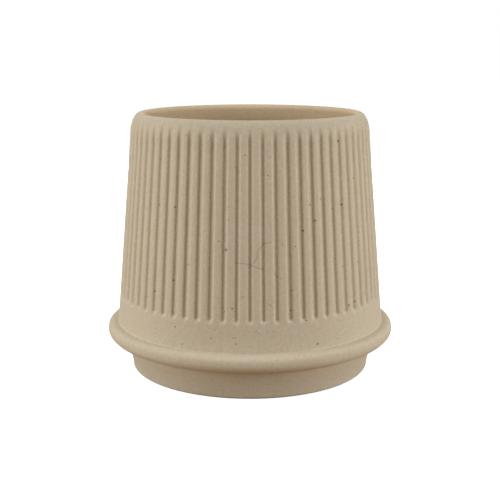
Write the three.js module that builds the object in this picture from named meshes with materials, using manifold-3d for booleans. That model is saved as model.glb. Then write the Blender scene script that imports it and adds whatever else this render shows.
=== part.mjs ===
// A garden pot with a fluted, tapering body, standing in its own saucer.
// Millimetres, +Z up, origin at the centre of the underside.
import * as THREE from 'three';
import { mergeVertices } from 'three/addons/utils/BufferGeometryUtils.js';
import Module from 'manifold-3d';

const wasm = await Module();
wasm.setup();

// Sizes of the pot
const potHeight = 128.6;
const lowerRadius = 78.9;
const upperRadius = 69.5;
const wallThickness = 9;
const floorThickness = 9;
const floorFillet = 6;
const rimOuterHeight = 13.6;
const rimInnerHeight = 4;
const rimInnerWidth = 3.6;
const lowerEdgeRound = 1.2;
const baseRecessDepth = 1.5;
const baseRingWidth = 16.5;
const drainRadius = 9;

// Sizes of the flutes, which are ball-nosed grooves that run out into the rim
const fluteCount = 67;
const fluteWidth = 2.8;
const fluteDepth = 1.45;
const plainBand = 16.6;
const fluteRunOut = 7;
const flutePoint = 0.6;

// Sizes of the saucer: a foot with a well in it, and a rounded ring round its top with a thin raised lip
const footHeight = 17.5;
const footRoundWidth = 3;
const footRoundHeight = 2;
const footTaper = 5.1;
const footInset = 3.6;
const footRingWidth = 7;
const footRecessDepth = 1.5;
const saucerFloor = 5;
const wellWall = 9.6;
const wellFillet = 4;
const shelfThickness = 4.4;
const ringWidth = 5.8;
const ringLowerHeight = 5.9;
const ringUpperHeight = 5.2;
const ringSquareness = 2.6;
const lipWidth = 0.8;
const lipRise = 0.5;

// Clearances between the pot and the saucer
const seatClearance = 0.3;
const seatGap = 0.3;

// Fineness of the facets
const potSides = fluteCount;
const saucerSides = 80;
const drainSides = 32;
const flankSides = 8;
const noseSteps = 2;
const outerRimSteps = 5;
const innerRimSteps = 3;
const roundSteps = 2;
const lipSteps = 4;
const footRoundSteps = 3;
const ringLowerSteps = 5;
const ringUpperSteps = 4;
const halvings = 30;
const weldDistance = 1e-4;

// Heights and radii that follow from the sizes
const ringWidestHeight = footHeight + ringLowerHeight;
const ringCrestHeight = ringWidestHeight + ringUpperHeight;
const shelfHeight = footHeight + shelfThickness;
const seatRadius = lowerRadius + seatClearance;
const ringRadius = seatRadius + ringWidth;
const footUpperRadius = seatRadius - footInset;
const footLowerRadius = footUpperRadius - footTaper;
const wellRadius = footUpperRadius - wellWall;
const potBottom = shelfHeight + seatGap;
const potTop = potBottom + potHeight;
const wallTop = potTop - rimOuterHeight;
const floorTop = potBottom + floorThickness;
const innerRimStart = potTop - rimInnerHeight;
const crestRadius = wallRadius(innerRimStart) - wallThickness + rimInnerWidth;

// Radius of the line that the tapering wall follows, at any height
function wallSlope(z) {
  return lowerRadius + ((upperRadius - lowerRadius) * (z - ringCrestHeight)) / (wallTop - ringCrestHeight);
}

// Radius of the pot's wall, which is upright inside the saucer's ring and tapers above it
function wallRadius(z) {
  return wallSlope(Math.max(z, ringCrestHeight));
}

// Radius of the rounded rim's outer side, from the top of the straight wall to the crest
function rimRadius(z) {
  const share = Math.min(1, (z - wallTop) / rimOuterHeight);
  return crestRadius + (upperRadius - crestRadius) * Math.sqrt(1 - share * share);
}

// Height at which the rounded rim has fallen back from the wall's line by a given amount
function heightOfFall(fall) {
  let low = wallTop;
  let high = potTop;
  for (let step = 0; step < halvings; step += 1) {
    const middle = (low + high) / 2;
    if (wallSlope(middle) - rimRadius(middle) < fall) {
      low = middle;
    } else {
      high = middle;
    }
  }
  return high;
}

// Points of a quarter round about a centre, from one angle to another in degrees.
// An exponent of 2 gives an ellipse, and a greater one a squarer shoulder.
function quarter(centre, width, height, from, to, steps, exponent = 2) {
  const points = [];
  for (let step = 0; step <= steps; step += 1) {
    const angle = THREE.MathUtils.degToRad(from + ((to - from) * step) / steps);
    const across = Math.abs(Math.cos(angle)) ** (2 / exponent) * Math.sign(Math.cos(angle));
    const up = Math.abs(Math.sin(angle)) ** (2 / exponent) * Math.sign(Math.sin(angle));
    points.push(new THREE.Vector2(centre.x + width * across, centre.y + height * up));
  }
  return points;
}

// A profile of radius and height, turned about the Z axis
function turned(profile, sides) {
  return new THREE.LatheGeometry(profile, sides).rotateX(Math.PI / 2);
}

function at(radius, height) {
  return new THREE.Vector2(radius, height);
}

// A solid that can be cut and joined, from a closed geometry
function solidOf(geometry) {
  const bare = geometry.clone();
  bare.deleteAttribute('normal');
  bare.deleteAttribute('uv');
  const merged = mergeVertices(bare, weldDistance);
  const corners = merged.index.array;
  const kept = [];
  for (let i = 0; i < corners.length; i += 3) {
    const [a, b, c] = [corners[i], corners[i + 1], corners[i + 2]];
    if (a !== b && b !== c && c !== a) kept.push(a, b, c);
  }
  const mesh = new wasm.Mesh({
    numProp: 3,
    vertProperties: merged.attributes.position.array,
    triVerts: new Uint32Array(kept),
  });
  return new wasm.Manifold(mesh);
}

// The geometry of a finished solid, with flat faces
function geometryOf(solid) {
  const mesh = solid.getMesh();
  const geometry = new THREE.BufferGeometry();
  geometry.setAttribute('position', new THREE.BufferAttribute(mesh.vertProperties, 3));
  geometry.setIndex(new THREE.BufferAttribute(mesh.triVerts, 1));
  geometry.computeVertexNormals();
  return geometry;
}

// The pot without its flutes and drain hole: base ring, wall, rounded rim, inner wall and floor
function potShell() {
  const innerFoot = floorTop + floorFillet;
  const recessTop = potBottom + baseRecessDepth;
  const recessRadius = lowerRadius - baseRingWidth;
  const edge = at(lowerRadius - lowerEdgeRound, potBottom + lowerEdgeRound);
  const crest = at(crestRadius, wallTop);
  const innerCrest = at(crestRadius, innerRimStart);
  const corner = at(wallRadius(innerFoot) - wallThickness - floorFillet, innerFoot);
  const profile = [
    at(0, recessTop),
    at(recessRadius - baseRecessDepth, recessTop),
    at(recessRadius, potBottom),
    ...quarter(edge, lowerEdgeRound, lowerEdgeRound, -90, 0, roundSteps),
    at(lowerRadius, ringCrestHeight),
    ...quarter(crest, upperRadius - crestRadius, rimOuterHeight, 0, 90, outerRimSteps),
    ...quarter(innerCrest, rimInnerWidth, rimInnerHeight, 90, 180, innerRimSteps).slice(1),
    ...quarter(corner, floorFillet, floorFillet, 0, -90, roundSteps),
    at(0, floorTop),
  ];
  return turned(profile, potSides);
}

// One flute's cutter, turned about its own middle line, which runs along the wall: a ball nose at the
// foot, a straight stretch, and a long point that ends where the rim has rounded away from it. Its flat
// sides lie at the flute's true half width, one of them deepest and one at each flank.
function fluteCutter(turn) {
  const ball = fluteWidth / 2;
  const corner = 1 / Math.cos(Math.PI / flankSides);
  const noseHeight = ringCrestHeight + plainBand + ball;
  const lineDepth = fluteDepth - ball;
  const outHeight = heightOfFall(lineDepth + flutePoint);
  const lean = Math.atan2(upperRadius - lowerRadius, wallTop - ringCrestHeight);
  const along = (height) => (height - noseHeight) / Math.cos(lean);
  const profile = [
    at(0, -ball),
    ...quarter(at(0, 0), ball * corner, ball, -90, 0, noseSteps).slice(1),
    at(ball * corner, along(outHeight - fluteRunOut)),
    at(flutePoint * corner, along(outHeight)),
    at(0, along(outHeight) + flutePoint),
  ];
  return turned(profile, flankSides)
    .rotateZ(Math.PI / flankSides)
    .rotateY(lean)
    .translate(wallSlope(noseHeight) - lineDepth, 0, noseHeight)
    .rotateZ(turn);
}

// All flutes, evenly round the wall, with one at the front
function fluteCutters() {
  const cutters = [];
  for (let index = 0; index < fluteCount; index += 1) {
    const turn = (index * 2 * Math.PI) / fluteCount - Math.PI / 2;
    cutters.push(solidOf(fluteCutter(turn)));
  }
  return cutters;
}

function drainCutter() {
  const drill = new THREE.CylinderGeometry(drainRadius, drainRadius, floorThickness * 2, drainSides);
  return solidOf(drill.rotateX(Math.PI / 2).translate(0, 0, potBottom + floorThickness / 2));
}

function potGeometry() {
  let pot = solidOf(potShell()).subtract(drainCutter());
  for (const cutter of fluteCutters()) pot = pot.subtract(cutter);
  return geometryOf(pot);
}

// The saucer: foot ring, rounded foot, ring, seat for the pot's lower end, shelf and well
function saucerGeometry() {
  const flatRadius = footLowerRadius - footRoundWidth;
  const recessRadius = flatRadius - footRingWidth;
  const wellFloor = footRecessDepth + saucerFloor;
  const footEdge = at(flatRadius, footRoundHeight);
  const lower = at(footUpperRadius, ringWidestHeight);
  const upper = at(seatRadius + lipWidth, ringWidestHeight);
  const lip = at(seatRadius + lipWidth / 2, ringCrestHeight + lipRise - lipWidth / 2);
  const corner = at(wellRadius - wellFillet, wellFloor + wellFillet);
  const profile = [
    at(0, footRecessDepth),
    at(recessRadius - footRecessDepth, footRecessDepth),
    at(recessRadius, 0),
    ...quarter(footEdge, footRoundWidth, footRoundHeight, -90, 0, footRoundSteps),
    ...quarter(lower, ringRadius - footUpperRadius, ringLowerHeight, -90, 0, ringLowerSteps),
    ...quarter(upper, ringWidth - lipWidth, ringUpperHeight, 0, 90, ringUpperSteps, ringSquareness).slice(1),
    ...quarter(lip, lipWidth / 2, lipWidth / 2, 0, 180, lipSteps),
    at(seatRadius, shelfHeight),
    at(wellRadius, shelfHeight),
    ...quarter(corner, wellFillet, wellFillet, 0, -90, roundSteps),
    at(0, wellFloor),
  ];
  return turned(profile, saucerSides);
}

// A named piece with its own matt, warm beige, stone-like finish
function piece(name, geometry, color) {
  const material = new THREE.MeshStandardMaterial({ color, roughness: 0.92, metalness: 0 });
  const mesh = new THREE.Mesh(geometry, material);
  mesh.name = name;
  return mesh;
}

const group = new THREE.Group();
group.add(piece('saucer', saucerGeometry(), 0xc0b29b));
group.add(piece('pot', potGeometry(), 0xc2b49d));

export default group;
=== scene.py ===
import math

import bmesh
import bpy
import numpy as np
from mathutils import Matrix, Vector


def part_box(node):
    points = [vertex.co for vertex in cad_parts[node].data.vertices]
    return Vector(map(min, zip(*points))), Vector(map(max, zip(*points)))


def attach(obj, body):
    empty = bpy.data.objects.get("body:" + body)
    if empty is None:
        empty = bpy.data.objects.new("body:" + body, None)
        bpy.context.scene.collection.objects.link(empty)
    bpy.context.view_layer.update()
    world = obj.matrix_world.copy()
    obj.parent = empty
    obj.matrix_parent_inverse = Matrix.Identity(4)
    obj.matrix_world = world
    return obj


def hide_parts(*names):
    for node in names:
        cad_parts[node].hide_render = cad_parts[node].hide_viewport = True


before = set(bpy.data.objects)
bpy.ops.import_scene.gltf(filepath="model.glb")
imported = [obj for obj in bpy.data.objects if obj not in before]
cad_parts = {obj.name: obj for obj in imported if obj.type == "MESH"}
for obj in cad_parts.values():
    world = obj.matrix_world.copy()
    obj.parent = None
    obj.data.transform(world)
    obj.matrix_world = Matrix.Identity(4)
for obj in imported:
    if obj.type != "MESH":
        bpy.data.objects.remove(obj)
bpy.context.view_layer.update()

MM = 0.001

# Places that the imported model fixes
pot_low, pot_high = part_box("pot")
saucer_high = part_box("saucer")[1]
POT_BOTTOM = pot_low.z / MM
POT_TOP = pot_high.z / MM
LOWER_RADIUS = -pot_low.y / MM
RING_RADIUS = saucer_high.x / MM
SAUCER_TOP = saucer_high.z / MM

# Sizes of the pot
UPPER_RADIUS = 69.5
WALL = 9.0
FLOOR = 9.0
FLOOR_FILLET = 6.0
RIM_OUTER_HEIGHT = 13.6
RIM_OUTER_WIDTH = 5.8
RIM_INNER_HEIGHT = 2.8
RIM_INNER_WIDTH = 2.4
LOWER_EDGE_ROUND = 1.2
BASE_RECESS = 1.5
BASE_RING_WIDTH = 16.5
DRAIN_RADIUS = 9.0
DRAIN_EDGE_ROUND = 1.0

# Sizes of the flutes: grooves with a bell-shaped section and round, stretched lower ends, which run out
# into the rim between two heights. The plain band reaches from the ring's crest to the round ends' centres.
FLUTES = 67
FLUTE_DEPTH = 1.43
FLUTE_HALF_WIDTH = 1.33
FLUTE_SHARPNESS = 4.5
FLUTE_REACH = 2.9
FLUTE_END_STRETCH = 1.3
PLAIN_BAND = 18.45
FADE_START = 138.0
FADE_END = 149.4

# The wall's flare just above the saucer's lip, and the height over which its lower edge steps out
FLARE = 0.25
FLARE_HEIGHT = 4.5
FLARE_EDGE = 0.01

# Sizes of the saucer: a foot with a concave side, and a ring with a low lip that slopes up to the pot.
# A squareness of 2 makes an ellipse, a greater one has fuller shoulders, and 1 is a straight line.
# The ring's crest lies lower than the solid's lip by the ring drop. The centre of its upper round lies
# outside the seat by the ring centre, and the seat's upright side ends below the crest by the seat margin.
FOOT_HEIGHT = 17.5
FOOT_ROUND_WIDTH = 2.7
FOOT_ROUND_HEIGHT = 2.0
FOOT_TAPER = 4.6
FOOT_INSET = 4.0
FOOT_CURVE = 1.6
FOOT_RING_WIDTH = 7.0
FOOT_RECESS = 1.5
FOOT_FILLET = 0.2
SAUCER_FLOOR = 5.0
WELL_WALL = 9.6
WELL_FILLET = 4.0
SHELF = 4.4
RING_WIDTH = 5.8
RING_LOWER_HEIGHT = 6.05
RING_LOWER_SQUARENESS = 2.0
RING_UPPER_SQUARENESS = 2.78
RING_CENTRE = 0.8
RING_DROP = 0.75
LIP_WIDTH = 0.9
LIP_RISE = 0.12
LIP_SQUARENESS = 1.0
LIP_VALLEY = 0.05
LIP_VALLEY_SPREAD = 0.3
SEAT_GAP = 0.05
SEAT_MARGIN = 1.0

# Heights and radii that follow, and the taper: how much narrower the wall gets for each millimetre up
RING_CREST = SAUCER_TOP - RING_DROP
LIP_TOP = RING_CREST + LIP_RISE
OVER_LIP = LIP_TOP + SEAT_GAP
SEAT_TOP = RING_CREST - SEAT_MARGIN
WALL_TOP = POT_TOP - RIM_OUTER_HEIGHT
TAPER = (LOWER_RADIUS - UPPER_RADIUS) / (WALL_TOP - RING_CREST)
FLOOR_TOP = POT_BOTTOM + FLOOR
INNER_RIM_START = POT_TOP - RIM_INNER_HEIGHT
CREST_RADIUS = UPPER_RADIUS - RIM_OUTER_WIDTH
FLUTE_END_CENTRE = RING_CREST + PLAIN_BAND
FLUTE_END = FLUTE_END_CENTRE - FLUTE_REACH * FLUTE_END_STRETCH
SEAT_RADIUS = LOWER_RADIUS + SEAT_GAP
RING_WIDEST = FOOT_HEIGHT + RING_LOWER_HEIGHT
FOOT_UPPER_RADIUS = RING_RADIUS - RING_WIDTH - FOOT_INSET
FOOT_LOWER_RADIUS = FOOT_UPPER_RADIUS - FOOT_TAPER
FOOT_SIDE_TOP = FOOT_HEIGHT - FOOT_FILLET
WELL_RADIUS = FOOT_UPPER_RADIUS - WELL_WALL
WELL_FLOOR = FOOT_RECESS + SAUCER_FLOOR
SHELF_HEIGHT = FOOT_HEIGHT + SHELF

# Fineness of the meshes
SAUCER_SIDES = 360
FLUTE_STEPS = 14
BAND_STEPS = 21
WALL_STEPS = 16
FADE_STEPS = 12
RIM_STEPS = 12
INNER_RIM_STEPS = 10
INNER_WALL_STEPS = 10
POT_FLOOR_STEPS = 6
EDGE_STEPS = 4
FILLET_STEPS = 8
RECESS_STEPS = 2
FOOT_RING_STEPS = 3
FOOT_ROUND_STEPS = 10
FOOT_SIDE_STEPS = 12
FOOT_FILLET_STEPS = 6
RING_LOWER_STEPS = 30
RING_UPPER_STEPS = 60
LIP_STEPS = 12
SEAT_STEPS = 3
SHELF_STEPS = 4
WELL_FLOOR_STEPS = 8
FINE_ROW = 0.04
MERGE_DISTANCE = 0.002
TOLERANCE = 1e-9

# Colours of the clay, of the specks and of the pot's inside, made redder and lighter as painted warm bounce
# light, and how far each pattern is shifted, in metres
POT_WARM = (0.54, 0.458, 0.328)
POT_GREY = (0.54, 0.463, 0.358)
SAUCER_WARM = (0.535, 0.453, 0.323)
SAUCER_GREY = (0.535, 0.458, 0.353)
SPECK_COLOUR = (0.11, 0.08, 0.055)
INSIDE_PAINTED_BOUNCE_COLOUR = (0.6, 0.46, 0.295)
POT_SHIFT = (0, 0, 0)
SAUCER_SHIFT = (3, 1, 2)

# Patterns in the clay: waves or cells per metre, the part of each pattern's range that is used, and what
# it is turned into
PATCHES = {"scale": 200, "detail": 2, "roughness": 0.6}
MOTTLE = {"scale": 560, "detail": 3, "roughness": 0.7}
GRAIN = {"scale": 2000, "detail": 2, "roughness": 0.5}
PATCH_RANGE = (0.35, 0.65)
NOISE_RANGE = (0.3, 0.7)
MOTTLE_TONES = (0.92, 1.08)
GRAIN_TONES = (0.94, 1.06)
DARK_SPECKS = {"scale": 270, "least": 0.7, "radius": 0.48 * MM}
FAINT_SPECKS = {"scale": 480, "least": 0.62, "radius": 0.5 * MM}
DARK_SPECK_STRENGTH = 0.75
FAINT_SPECK_STRENGTH = 0.35
SPECK_EDGE = 0.35
ROUGHNESS_RANGE = (0.8, 0.94)
SPECULAR_LEVEL = 0.25
BUMP_STRENGTH = 0.35
BUMP_DISTANCE = 0.25

# A painted highlight in a thin line where the pot leaves the saucer, and painted shade on the rim
PAINTED_HIGHLIGHT = 1.2
PAINTED_HIGHLIGHT_HEIGHT = 0.6
PAINTED_HIGHLIGHT_EDGE = 0.2
PAINTED_HIGHLIGHT_OVERRUN = 0.1
RIM_PAINTED_SHADE = 0.88
RIM_PAINTED_SHADE_HEIGHT = 10.0

# Marks on the pot's wall, picked on the photo. A spot has its place in the photo's pixels and its
# radius in millimetres, and a hair mark has the places in pixels of its points.
UNROLL_RADIUS = 76.0
HAIR_WIDTH = 0.42
HAIR_STRENGTH = 0.5
SPOT_STRENGTH = 0.85
SPOT_CORE = 0.35
SPOTS = [
    (225.7, 250.2, 1.0), (232.1, 308.7, 0.7), (218.4, 241.2, 0.5), (224.2, 312.1, 0.4), (211.0, 338.1, 0.5),
    (233.4, 338.1, 0.4), (235.5, 338.3, 0.4), (235.9, 344.0, 0.6), (256.1, 331.4, 0.4), (259.4, 333.6, 0.4),
    (268.7, 331.9, 0.4), (295.2, 246.4, 0.5), (292.3, 290.7, 0.5), (291.4, 311.0, 0.6), (306.6, 320.5, 0.6),
    (337.4, 338.6, 0.5), (317.4, 343.8, 0.8), (355.6, 301.7, 0.5), (349.0, 305.2, 0.8), (364.5, 293.5, 0.6),
    (359.7, 262.3, 0.6), (344.6, 266.7, 0.6), (157.9, 204.7, 0.6), (174.5, 207.3, 0.7), (311.4, 205.2, 0.7),
    (315.4, 220.7, 0.8), (342.7, 204.7, 0.8), (303.6, 230.9, 0.7), (339.5, 141.2, 0.7), (355.3, 178.1, 0.6),
    (157.3, 140.1, 0.5), (175.0, 326.8, 0.6), (182.5, 344.0, 0.6), (172.6, 280.5, 0.6), (153.3, 291.7, 0.6),
    (187.3, 264.9, 0.6), (282.4, 244.3, 0.5), (268.2, 175.7, 0.6), (244.9, 155.4, 0.5),
]
HAIRS = [
    [(235.5, 263.3), (245.4, 263.9), (251.1, 265.5), (258.8, 268.4), (264.5, 270.0)],
    [(251.1, 265.8), (248.3, 269.0)],
    [(254.0, 263.0), (257.5, 256.9), (257.8, 251.1), (260.7, 247.3), (264.5, 244.1), (270.6, 242.5)],
    [(274.4, 273.8), (277.9, 277.6)],
    [(270.3, 304.7), (272.5, 307.9)],
]

# The floor, its size in metres, and the soft light from all round
FLOOR_RADIUS = 4
FLOOR_SIDES = 96
FLOOR_SHADE = (0.8, 0.8, 0.8)
FLOOR_GLOW = (0.84, 0.84, 0.84)
FLOOR_BOUNCE = (0.31, 0.17, 0.05)
AMBIENT_COLOUR = (1.0, 0.98, 0.93)
AMBIENT_STRENGTH = 0.24

# The lamps' colours, and the height that they face
COOL = (0.95, 0.99, 1.02)
WHITE = (1, 1, 1)
LAMP_AIM = 80.0

# The camera, placed as the photograph's was. Its pitch is in degrees below the horizon.
CAMERA_DISTANCE = 592.0
CAMERA_HEIGHT = 193.4
CAMERA_PITCH = 11.91
CAMERA_FOCAL_PIXELS = 1012
PHOTO_PIXELS = 500
SENSOR = 36


def arc(centre, width, height, start, end, steps, squareness=2.0):
    """Points (radius, height) of part of an ellipse, from one angle to another in degrees."""
    points = []
    for step in range(steps + 1):
        angle = math.radians(start + (end - start) * step / steps)
        across = math.copysign(abs(math.cos(angle)) ** (2 / squareness), math.cos(angle))
        up = math.copysign(abs(math.sin(angle)) ** (2 / squareness), math.sin(angle))
        points.append((centre[0] + width * across, centre[1] + height * up))
    return points


def line(start, end, steps):
    """Points (radius, height) of a straight line, without its last one."""
    return [
        (start[0] + (end[0] - start[0]) * i / steps, start[1] + (end[1] - start[1]) * i / steps)
        for i in range(steps)
    ]


def ring(radii, angles, z):
    """Points at one height and at angles from the front, all at one radius or each at its own."""
    return np.stack([radii * np.sin(angles), -radii * np.cos(angles), np.full(len(angles), z)], 1)


def grid_faces(rows, columns, closed):
    """Quads between neighbouring rows of points, each row a ring; closed joins the last row to the first."""
    faces = []
    for row in range(rows if closed else rows - 1):
        low = row * columns
        high = ((row + 1) % rows) * columns
        for column in range(columns):
            beside = (column + 1) % columns
            faces.append((low + column, low + beside, high + beside, high + column))
    return faces


def mesh_object(name, points, faces):
    """A smooth-shaded closed mesh from points in millimetres, with coinciding points merged."""
    mesh = bpy.data.meshes.new(name)
    mesh.from_pydata((np.asarray(points) * MM).tolist(), [], faces)
    work = bmesh.new()
    work.from_mesh(mesh)
    bmesh.ops.remove_doubles(work, verts=work.verts, dist=MERGE_DISTANCE * MM)
    bmesh.ops.dissolve_degenerate(work, edges=work.edges, dist=MERGE_DISTANCE * MM / 2)
    bmesh.ops.recalc_face_normals(work, faces=work.faces)
    work.to_mesh(mesh)
    work.free()
    mesh.shade_smooth()
    made = bpy.data.objects.new(name, mesh)
    bpy.context.scene.collection.objects.link(made)
    return made


def wall_radius(z):
    """Radius of the line that the tapering wall follows, at any height."""
    return LOWER_RADIUS - TAPER * (z - RING_CREST)


def outside_radius(z):
    """Radius of the pot's outside above the saucer's lip, with the flare at its foot and the rounded rim."""
    if z <= WALL_TOP:
        return wall_radius(z) + FLARE * math.exp(-(((z - OVER_LIP) / FLARE_HEIGHT) ** 2))
    share = min(1.0, (z - WALL_TOP) / RIM_OUTER_HEIGHT)
    return CREST_RADIUS + RIM_OUTER_WIDTH * math.sqrt(1 - share * share)


def groove_section():
    """Points (distance from the groove's middle, depth) of half a groove, from its bottom to the land."""
    distances = np.linspace(0, FLUTE_REACH, FLUTE_STEPS + 1)
    bell = 1 / (1 + (distances / FLUTE_HALF_WIDTH) ** FLUTE_SHARPNESS)
    depths = FLUTE_DEPTH * (bell - bell[-1]) / (1 - bell[-1])
    return list(zip(distances.tolist(), depths.tolist()))


def flute_row(section, radius, offset, fade):
    """Sideways places and depths of one flute's columns on one row. The offset says how far the row lies
    below the centre of the groove's round end, before it is stretched. Columns that the round end has
    passed lie together in the middle. Fade is the groove's share of its full depth."""
    reached = min(depth for distance, depth in section if distance <= offset + TOLERANCE)
    half = []
    for distance, depth in section:
        if distance > offset:
            half.append((math.sqrt(distance**2 - offset**2), depth * fade))
        else:
            half.append((0.0, reached * fade))
    half.append((math.pi * radius / FLUTES, 0.0))
    left = [(-side, depth) for side, depth in half[-2:0:-1]]
    return np.array(left + half)


def base_profile():
    """Points (radius, height) of the pot's lower edge and the upright wall inside the saucer's ring."""
    edge_centre = (LOWER_RADIUS - LOWER_EDGE_ROUND, POT_BOTTOM + LOWER_EDGE_ROUND)
    points = arc(edge_centre, LOWER_EDGE_ROUND, LOWER_EDGE_ROUND, -90, 0, EDGE_STEPS)[:-1]
    for z in (POT_BOTTOM + LOWER_EDGE_ROUND, SEAT_TOP, OVER_LIP - FINE_ROW, OVER_LIP):
        points.append((LOWER_RADIUS, z))
    return points


def wall_rows(section):
    """Rows of the fluted wall, from the saucer's lip to where the grooves have run out into the rim."""
    places = []
    for share in np.linspace(0, 1, BAND_STEPS + 1)[:-1]:
        places.append((OVER_LIP + FLARE_EDGE + (FLUTE_END - OVER_LIP) * share**2, FLUTE_REACH, 0.0))
    for distance, _ in reversed(section):
        places.append((FLUTE_END_CENTRE - distance * FLUTE_END_STRETCH, distance, 1.0))
    for z in np.linspace(FLUTE_END_CENTRE, FADE_START, WALL_STEPS + 1)[1:]:
        places.append((z, 0.0, 1.0))
    for z in np.linspace(FADE_START, FADE_END, FADE_STEPS + 1)[1:]:
        share = (z - FADE_START) / (FADE_END - FADE_START)
        places.append((z, 0.0, 1 - share * share * (3 - 2 * share)))
    rows = []
    for z, offset, fade in places:
        radius = outside_radius(z)
        columns = flute_row(section, radius, offset, fade)
        rows.append((radius, z, columns[:, 0] / radius, columns[:, 1]))
    return rows


def rim_profile():
    """Points (radius, height) of the rounded rim, from where the grooves have run out to its inner side."""
    start = math.degrees(math.asin((FADE_END - WALL_TOP) / RIM_OUTER_HEIGHT))
    outer = arc((CREST_RADIUS, WALL_TOP), RIM_OUTER_WIDTH, RIM_OUTER_HEIGHT, start, 90, RIM_STEPS)
    inner = arc((CREST_RADIUS, INNER_RIM_START), RIM_INNER_WIDTH, RIM_INNER_HEIGHT, 90, 180, INNER_RIM_STEPS)
    return outer[1:] + inner[1:]


def inside_profile(rim_end):
    """Points (radius, height) from the rim's inner side down the wall, over the floor, through the drain
    hole and along the underside, back to the pot's lower edge."""
    foot = FLOOR_TOP + FLOOR_FILLET
    inner_foot = wall_radius(foot) - WALL
    drain = DRAIN_RADIUS + DRAIN_EDGE_ROUND
    under = POT_BOTTOM + BASE_RECESS
    recess = LOWER_RADIUS - BASE_RING_WIDTH
    recess_top = (recess - BASE_RECESS, under)
    edge_round = (DRAIN_EDGE_ROUND, DRAIN_EDGE_ROUND)
    points = line(rim_end, (inner_foot, foot), INNER_WALL_STEPS)[1:]
    points += arc((inner_foot - FLOOR_FILLET, foot), FLOOR_FILLET, FLOOR_FILLET, 0, -90, FILLET_STEPS)
    points += line(points[-1], (drain, FLOOR_TOP), POT_FLOOR_STEPS)[1:]
    points += arc((drain, FLOOR_TOP - DRAIN_EDGE_ROUND), *edge_round, 90, 180, EDGE_STEPS)
    points += arc((drain, under + DRAIN_EDGE_ROUND), *edge_round, 180, 270, EDGE_STEPS)
    points += line(points[-1], recess_top, POT_FLOOR_STEPS)[1:]
    points += line(recess_top, (recess, POT_BOTTOM), RECESS_STEPS)
    points += line((recess, POT_BOTTOM), (LOWER_RADIUS - LOWER_EDGE_ROUND, POT_BOTTOM), FOOT_RING_STEPS)
    return points


def pot_rows():
    """Rows of the pot's closed shell, as (radius, height, angles of one flute's columns, their depths)."""
    section = groove_section()
    base_angles = flute_row(section, LOWER_RADIUS, FLUTE_REACH, 0.0)[:, 0] / LOWER_RADIUS
    no_depth = np.zeros(len(base_angles))
    rows = [(radius, z, base_angles, no_depth) for radius, z in base_profile()]
    rows += wall_rows(section)
    top_angles = rows[-1][2]
    rim = rim_profile()
    rows += [(radius, z, top_angles, no_depth) for radius, z in rim + inside_profile(rim[-1])]
    return rows


def build_pot():
    """The pot: its rows of points carried round the axis, one flute after another, with one at the front."""
    rows = pot_rows()
    turns = np.arange(FLUTES) * 2 * math.pi / FLUTES
    points = []
    for radius, z, sideways, depths in rows:
        angles = (turns[:, None] + sideways[None, :]).ravel()
        points.append(ring(np.tile(radius - depths, FLUTES), angles, z))
    return mesh_object("pot_body", np.concatenate(points), grid_faces(len(rows), len(points[0]), True))


def foot_profile():
    """Points (radius, height) of the saucer's underside and its foot's concave side."""
    flat = FOOT_LOWER_RADIUS - FOOT_ROUND_WIDTH
    recess = flat - FOOT_RING_WIDTH
    recess_top = (recess - FOOT_RECESS, FOOT_RECESS)
    points = line((0, FOOT_RECESS), recess_top, WELL_FLOOR_STEPS)
    points += line(recess_top, (recess, 0), RECESS_STEPS)
    points += line((recess, 0), (flat, 0), FOOT_RING_STEPS)
    points += arc((flat, FOOT_ROUND_HEIGHT), FOOT_ROUND_WIDTH, FOOT_ROUND_HEIGHT, -90, 0, FOOT_ROUND_STEPS)
    for share in np.linspace(0, 1, FOOT_SIDE_STEPS + 1)[1:-1]:
        z = FOOT_ROUND_HEIGHT + (FOOT_SIDE_TOP - FOOT_ROUND_HEIGHT) * share
        points.append((FOOT_LOWER_RADIUS + FOOT_TAPER * share**FOOT_CURVE, z))
    return points


def ring_profile():
    """Points (radius, height) of the saucer's ring, from the foot's side over the crest to the lip's top."""
    spring = FOOT_UPPER_RADIUS + FOOT_FILLET
    centre = SEAT_RADIUS + RING_CENTRE
    inner = SEAT_RADIUS + LIP_WIDTH
    lip_foot = RING_CREST - LIP_VALLEY
    points = arc((spring, FOOT_SIDE_TOP), FOOT_FILLET, FOOT_FILLET, 180, 90, FOOT_FILLET_STEPS)
    points += arc((spring, RING_WIDEST), RING_RADIUS - spring, RING_LOWER_HEIGHT, -90, 0,
                  RING_LOWER_STEPS, RING_LOWER_SQUARENESS)[1:]
    upper = arc((centre, RING_WIDEST), RING_RADIUS - centre, RING_CREST - RING_WIDEST, 0, 90,
                RING_UPPER_STEPS, RING_UPPER_SQUARENESS)[1:]
    for radius, z in upper:
        if radius > inner + FINE_ROW:
            valley = LIP_VALLEY * math.exp(-(((radius - inner) / LIP_VALLEY_SPREAD) ** 2))
            points.append((radius, z - valley))
    points += arc((SEAT_RADIUS, lip_foot), LIP_WIDTH, LIP_TOP - lip_foot, 0, 90, LIP_STEPS, LIP_SQUARENESS)
    return points


def well_profile():
    """Points (radius, height) of the saucer's inside: seat, shelf and well, down to the well's middle."""
    fillet_centre = (WELL_RADIUS - WELL_FILLET, WELL_FLOOR + WELL_FILLET)
    points = [(SEAT_RADIUS, LIP_TOP - FINE_ROW)]
    points += line((SEAT_RADIUS, SEAT_TOP), (SEAT_RADIUS, SHELF_HEIGHT), SEAT_STEPS)
    points += line((SEAT_RADIUS, SHELF_HEIGHT), (WELL_RADIUS, SHELF_HEIGHT), SHELF_STEPS)
    points += line((WELL_RADIUS, SHELF_HEIGHT), (WELL_RADIUS, WELL_FLOOR + WELL_FILLET), SHELF_STEPS)
    points += arc(fillet_centre, WELL_FILLET, WELL_FILLET, 0, -90, FILLET_STEPS)
    points += line((WELL_RADIUS - WELL_FILLET, WELL_FLOOR), (0, WELL_FLOOR), WELL_FLOOR_STEPS)[1:]
    points.append((0, WELL_FLOOR))
    return points


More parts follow.
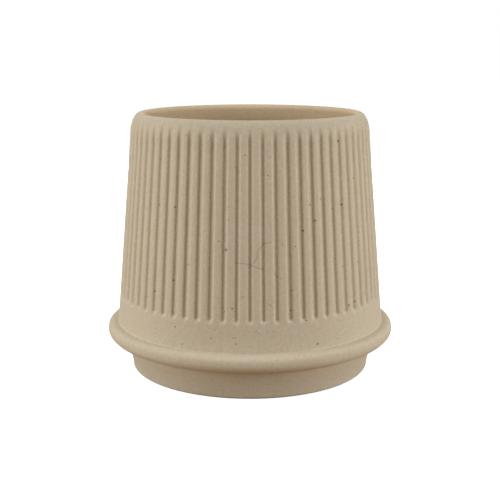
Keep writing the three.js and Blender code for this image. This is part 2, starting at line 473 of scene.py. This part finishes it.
def build_saucer():
    """The saucer, turned about its axis."""
    profile = foot_profile() + ring_profile() + well_profile()
    turns = np.arange(SAUCER_SIDES) * 2 * math.pi / SAUCER_SIDES
    points = [ring(radius, turns, z) for radius, z in profile]
    return mesh_object("saucer_body", np.concatenate(points), grid_faces(len(profile), SAUCER_SIDES, False))


def feed(tree, value, socket):
    """Links another node's result to a socket, or gives the socket a constant."""
    if isinstance(value, bpy.types.NodeSocket):
        tree.links.new(value, socket)
    else:
        socket.default_value = value


def calculate(tree, operation, first, second):
    """The result of a sum on two values, each a socket or a number."""
    node = tree.nodes.new("ShaderNodeMath")
    node.operation = operation
    feed(tree, first, node.inputs[0])
    feed(tree, second, node.inputs[1])
    return node.outputs[0]


def vector(tree, operation, first, second):
    """The result of an operation on two vectors, each a socket or a tuple. Lengths come out as values."""
    node = tree.nodes.new("ShaderNodeVectorMath")
    node.operation = operation
    feed(tree, first, node.inputs[0])
    feed(tree, second, node.inputs[1])
    return node.outputs["Value" if operation in ("DOT_PRODUCT", "DISTANCE") else "Vector"]


def scaled(tree, direction, share):
    """A vector or colour, a socket or a tuple, made longer or shorter."""
    node = tree.nodes.new("ShaderNodeVectorMath")
    node.operation = "SCALE"
    feed(tree, direction, node.inputs[0])
    feed(tree, share, node.inputs["Scale"])
    return node.outputs[0]


def blend(tree, share, first, second):
    """A colour between two colours, each a socket or three numbers."""
    node = tree.nodes.new("ShaderNodeMixRGB")
    feed(tree, share, node.inputs["Fac"])
    for socket, colour in zip((node.inputs["Color1"], node.inputs["Color2"]), (first, second)):
        feed(tree, (*colour, 1) if isinstance(colour, tuple) else colour, socket)
    return node.outputs[0]


def spread(tree, value, low, high, first, last):
    """A value between low and high turned into one between first and last, and held at the ends."""
    node = tree.nodes.new("ShaderNodeMapRange")
    names = ("Value", "From Min", "From Max", "To Min", "To Max")
    for name, given in zip(names, (value, low, high, first, last)):
        feed(tree, given, node.inputs[name])
    return node.outputs[0]


def coordinates(tree, place):
    """The X, Y and Z of a place."""
    node = tree.nodes.new("ShaderNodeSeparateXYZ")
    feed(tree, place, node.inputs[0])
    return node.outputs


def flat_place(tree, x, y):
    """A place in a plane, from its two coordinates."""
    node = tree.nodes.new("ShaderNodeCombineXYZ")
    feed(tree, x, node.inputs[0])
    feed(tree, y, node.inputs[1])
    return node.outputs[0]


def noise(tree, place, scale, detail, roughness):
    """A noise pattern of a given number of waves per metre."""
    node = tree.nodes.new("ShaderNodeTexNoise")
    for name, given in zip(("Vector", "Scale", "Detail", "Roughness"), (place, scale, detail, roughness)):
        feed(tree, given, node.inputs[name])
    return node.outputs[0]


def specks(tree, place, scale, least, radius):
    """A mask of small round spots, one at most in each cell of a random pattern. Only cells whose random
    number is above least hold one, and the higher the number, the bigger the spot."""
    cells = tree.nodes.new("ShaderNodeTexVoronoi")
    feed(tree, scale, cells.inputs["Scale"])
    feed(tree, place, cells.inputs["Vector"])
    number = tree.nodes.new("ShaderNodeSeparateColor")
    feed(tree, cells.outputs["Color"], number.inputs[0])
    size = spread(tree, number.outputs[0], least, 1.0, 0.0, radius * scale)
    edge = calculate(tree, "SUBTRACT", size, cells.outputs["Distance"])
    return spread(tree, edge, 0.0, SPECK_EDGE * radius * scale, 0.0, 1.0)


def unrolled(x, y):
    """Place on the unrolled wall, in metres, of what the photo shows at a pixel: where the camera's ray
    first meets the tapering wall's cone, which a quadratic equation for the ray's length gives."""
    pitch = math.radians(CAMERA_PITCH)
    across = (x - PHOTO_PIXELS / 2) / CAMERA_FOCAL_PIXELS
    down = (y - PHOTO_PIXELS / 2) / CAMERA_FOCAL_PIXELS
    forward = math.cos(pitch) - down * math.sin(pitch)
    rise = -math.sin(pitch) - down * math.cos(pitch)
    radius = wall_radius(CAMERA_HEIGHT)
    square = across**2 + forward**2 - (TAPER * rise) ** 2
    half = radius * TAPER * rise - CAMERA_DISTANCE * forward
    rest = CAMERA_DISTANCE**2 - radius**2
    length = (-half - math.sqrt(half**2 - square * rest)) / square
    azimuth = math.atan2(length * across, CAMERA_DISTANCE - length * forward)
    return (azimuth * UNROLL_RADIUS * MM, (CAMERA_HEIGHT + length * rise) * MM, 0.0)


def unrolled_wall(tree, place):
    """Where each point of the wall lies once it is unrolled: distance round the pot, and height."""
    x, y, z = coordinates(tree, place)
    turn = calculate(tree, "ARCTAN2", x, calculate(tree, "MULTIPLY", y, -1.0))
    return flat_place(tree, calculate(tree, "MULTIPLY", turn, UNROLL_RADIUS * MM), z)


def spot_marks(tree, wall):
    """A mask of the pot's largest dark specks."""
    mask = 0.0
    for x, y, radius in SPOTS:
        away = vector(tree, "DISTANCE", wall, unrolled(x, y))
        spot = spread(tree, away, SPOT_CORE * radius * MM, radius * MM, 1.0, 0.0)
        mask = calculate(tree, "MAXIMUM", spot, mask)
    return mask


def hair_marks(tree, wall):
    """A mask of fine hair marks, each a bent line through a few points."""
    mask = 0.0
    for points in HAIRS:
        for start, end in zip(points, points[1:]):
            first, last = unrolled(*start), unrolled(*end)
            along = tuple(b - a for a, b in zip(first, last))
            from_start = vector(tree, "SUBTRACT", wall, first)
            covered = vector(tree, "DOT_PRODUCT", from_start, along)
            share = spread(tree, covered, 0.0, sum(side * side for side in along), 0.0, 1.0)
            away = vector(tree, "DISTANCE", from_start, scaled(tree, along, share))
            mask = calculate(tree, "MAXIMUM", spread(tree, away, 0.0, HAIR_WIDTH * MM, 1.0, 0.0), mask)
    return mask


def wall_marks(tree, place, inner):
    """A mask of the marks on the pot's outside."""
    wall = unrolled_wall(tree, place)
    hairs = calculate(tree, "MULTIPLY", hair_marks(tree, wall), HAIR_STRENGTH)
    spots = calculate(tree, "MULTIPLY", spot_marks(tree, wall), SPOT_STRENGTH)
    marks = calculate(tree, "MAXIMUM", hairs, spots)
    return calculate(tree, "MULTIPLY", marks, calculate(tree, "SUBTRACT", 1.0, inner))


def inner_side(tree, place):
    """1 on the pot's inside and 0 on its outside, with the change inside the wall and on the rim's crest."""
    x, y, z = coordinates(tree, place)
    from_axis = vector(tree, "DISTANCE", flat_place(tree, x, y), (0.0, 0.0, 0.0))
    upright = calculate(tree, "ADD", from_axis, calculate(tree, "MULTIPLY", z, TAPER))
    middle = (wall_radius(0) - WALL / 2) * MM
    return spread(tree, upright, middle - WALL / 4 * MM, middle + WALL / 4 * MM, 1.0, 0.0)


def painted_light_by_height(tree, place):
    """How light the pot's colour is made by painted light: a painted highlight in a thin line where it
    leaves the saucer, and painted shade on the rim.
    """
    z = coordinates(tree, place)[2]
    foot = (LIP_TOP - PAINTED_HIGHLIGHT_HEIGHT) * MM
    top = (LIP_TOP + PAINTED_HIGHLIGHT_HEIGHT) * MM
    edge = PAINTED_HIGHLIGHT_EDGE * MM
    # Painted highlight: the colour made lighter in a thin band round the lip's height
    rise = spread(tree, z, foot - edge, foot, 1.0, PAINTED_HIGHLIGHT)
    fall = spread(tree, z, top - edge, top + PAINTED_HIGHLIGHT_OVERRUN * MM, PAINTED_HIGHLIGHT, 1.0)
    # Painted shade: the rim's colour made darker towards its top
    rim = spread(tree, z, (POT_TOP - RIM_PAINTED_SHADE_HEIGHT) * MM, INNER_RIM_START * MM, 1.0, RIM_PAINTED_SHADE)
    return calculate(tree, "MULTIPLY", calculate(tree, "MINIMUM", rise, fall), rim)


def stoneware(name, shift, warm, grey, marks_and_painted_light):
    """Matt stoneware: warm clay with greyer patches, a fine mottle and grain, and dark specks. The pot's
    stoneware has a painted highlight where it leaves the saucer, painted shade on its rim, painted warm
    bounce light inside, where it is redder and lighter, and large specks and hair marks."""
    material = bpy.data.materials.new(name)
    material.use_nodes = True
    tree = material.node_tree
    shader = tree.nodes["Principled BSDF"]
    where = tree.nodes.new("ShaderNodeTexCoord").outputs["Object"]
    moved = tree.nodes.new("ShaderNodeMapping")
    feed(tree, shift, moved.inputs["Location"])
    feed(tree, where, moved.inputs["Vector"])
    place = moved.outputs[0]

    mottle = noise(tree, place, **MOTTLE)
    grain = noise(tree, place, **GRAIN)
    patches = spread(tree, noise(tree, place, **PATCHES), *PATCH_RANGE, 0.0, 1.0)
    colour = blend(tree, patches, warm, grey)
    if marks_and_painted_light:
        # Painted highlight where the pot leaves the saucer, and painted shade on the rim
        colour = scaled(tree, colour, painted_light_by_height(tree, where))
        inner = inner_side(tree, where)
        # Painted warm bounce light: a redder, lighter colour inside the pot
        colour = blend(tree, inner, colour, INSIDE_PAINTED_BOUNCE_COLOUR)
    light = calculate(tree, "MULTIPLY", spread(tree, mottle, *NOISE_RANGE, *MOTTLE_TONES),
                      spread(tree, grain, *NOISE_RANGE, *GRAIN_TONES))
    colour = scaled(tree, colour, light)

    dark = specks(tree, place, **DARK_SPECKS)
    faint = specks(tree, place, **FAINT_SPECKS)
    colour = blend(tree, calculate(tree, "MULTIPLY", faint, FAINT_SPECK_STRENGTH), colour, SPECK_COLOUR)
    colour = blend(tree, calculate(tree, "MULTIPLY", dark, DARK_SPECK_STRENGTH), colour, SPECK_COLOUR)
    if marks_and_painted_light:
        colour = blend(tree, wall_marks(tree, where, inner), colour, SPECK_COLOUR)

    bump = tree.nodes.new("ShaderNodeBump")
    feed(tree, BUMP_STRENGTH, bump.inputs["Strength"])
    feed(tree, BUMP_DISTANCE * MM, bump.inputs["Distance"])
    relief = calculate(tree, "SUBTRACT", calculate(tree, "ADD", grain, mottle), dark)
    feed(tree, relief, bump.inputs["Height"])
    feed(tree, colour, shader.inputs["Base Color"])
    feed(tree, spread(tree, mottle, *NOISE_RANGE, *ROUGHNESS_RANGE), shader.inputs["Roughness"])
    feed(tree, SPECULAR_LEVEL, shader.inputs["Specular IOR Level"])
    feed(tree, bump.outputs[0], shader.inputs["Normal"])
    return material


def emptied(block):
    """The node tree of a material or a world, without any node."""
    block.use_nodes = True
    block.node_tree.nodes.clear()
    return block.node_tree


def coloured(tree, kind, colour):
    """A shader node of a given kind and colour."""
    node = tree.nodes.new(kind)
    node.inputs["Color"].default_value = (*colour, 1)
    return node


def output_by_ray(tree, kind, indirect, direct):
    """The tree's result: one shader for the soft light, and another for what the camera sees, mirrored
    and let through rays included."""
    path = tree.nodes.new("ShaderNodeLightPath")
    seen = calculate(tree, "MAXIMUM", path.outputs["Is Camera Ray"], path.outputs["Is Glossy Ray"])
    seen = calculate(tree, "MAXIMUM", seen, path.outputs["Is Transmission Ray"])
    mix = tree.nodes.new("ShaderNodeMixShader")
    tree.links.new(seen, mix.inputs["Fac"])
    tree.links.new(indirect.outputs[0], mix.inputs[1])
    tree.links.new(direct.outputs[0], mix.inputs[2])
    tree.links.new(mix.outputs[0], tree.nodes.new(kind).inputs["Surface"])


def build_floor():
    """A plain floor that the camera sees as white, but for the pot's shadow. Soft light sees it as warm."""
    bpy.ops.mesh.primitive_circle_add(vertices=FLOOR_SIDES, radius=FLOOR_RADIUS, fill_type="NGON")
    floor = bpy.context.object
    floor.name = "floor"
    material = bpy.data.materials.new("floor")
    tree = emptied(material)
    shadowed = coloured(tree, "ShaderNodeBsdfDiffuse", FLOOR_SHADE)
    white = coloured(tree, "ShaderNodeEmission", FLOOR_GLOW)
    pale = tree.nodes.new("ShaderNodeAddShader")
    tree.links.new(shadowed.outputs[0], pale.inputs[0])
    tree.links.new(white.outputs[0], pale.inputs[1])
    bounce = coloured(tree, "ShaderNodeBsdfDiffuse", FLOOR_BOUNCE)
    output_by_ray(tree, "ShaderNodeOutputMaterial", bounce, pale)
    floor.data.materials.append(material)


def build_world():
    """Soft light from all round, and white where the camera sees past the floor."""
    world = bpy.data.worlds.new("studio")
    bpy.context.scene.world = world
    tree = emptied(world)
    soft = coloured(tree, "ShaderNodeBackground", AMBIENT_COLOUR)
    soft.inputs["Strength"].default_value = AMBIENT_STRENGTH
    output_by_ray(tree, "ShaderNodeOutputWorld", soft, coloured(tree, "ShaderNodeBackground", WHITE))


def softbox(name, azimuth, elevation, width, height, radiance, colour):
    """A rectangular lamp of a given brightness, facing the pot from a metre away, its sizes in metres.
    The azimuth counts from the front towards the pot's right, and both angles are in degrees."""
    across, up = math.radians(azimuth), math.radians(elevation)
    away = Vector((math.sin(across) * math.cos(up), -math.cos(across) * math.cos(up), math.sin(up)))
    lamp = bpy.data.lights.new(name, "AREA")
    lamp.shape = "RECTANGLE"
    lamp.size = width
    lamp.size_y = height
    lamp.energy = radiance * math.pi * width * height
    lamp.color = colour
    box = bpy.data.objects.new(name, lamp)
    box.location = Vector((0, 0, LAMP_AIM * MM)) + away
    box.rotation_mode = "QUATERNION"
    box.rotation_quaternion = (-away).to_track_quat("-Z", "Y")
    bpy.context.scene.collection.objects.link(box)


def place_camera():
    """The camera, in front of the pot and looking a little down."""
    data = bpy.data.cameras.new("camera")
    data.sensor_width = SENSOR
    data.lens = CAMERA_FOCAL_PIXELS * SENSOR / PHOTO_PIXELS
    camera = bpy.data.objects.new("camera", data)
    camera.location = (0, -CAMERA_DISTANCE * MM, CAMERA_HEIGHT * MM)
    camera.rotation_euler = (math.radians(90 - CAMERA_PITCH), 0, 0)
    bpy.context.scene.collection.objects.link(camera)
    bpy.context.scene.camera = camera


pot = build_pot()
saucer = build_saucer()
pot.data.materials.append(stoneware("pot_stoneware", POT_SHIFT, POT_WARM, POT_GREY, True))
saucer.data.materials.append(stoneware("saucer_stoneware", SAUCER_SHIFT, SAUCER_WARM, SAUCER_GREY, False))
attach(pot, "pot")
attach(saucer, "saucer")
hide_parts("pot")
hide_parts("saucer")

build_floor()
build_world()
softbox("left_softbox", azimuth=-67, elevation=8, width=0.5, height=0.4, radiance=9.3, colour=COOL)
softbox("right_softbox", azimuth=67, elevation=8, width=0.5, height=0.4, radiance=10.0, colour=COOL)
softbox("left_high_softbox", azimuth=-75, elevation=50, width=0.4, height=0.4, radiance=1.8, colour=WHITE)
softbox("top_softbox", azimuth=0, elevation=80, width=0.5, height=0.5, radiance=5.4, colour=WHITE)
softbox("back_softbox", azimuth=180, elevation=10, width=0.5, height=0.5, radiance=4.0, colour=COOL)
place_camera()
bpy.context.scene.view_settings.view_transform = "Standard"
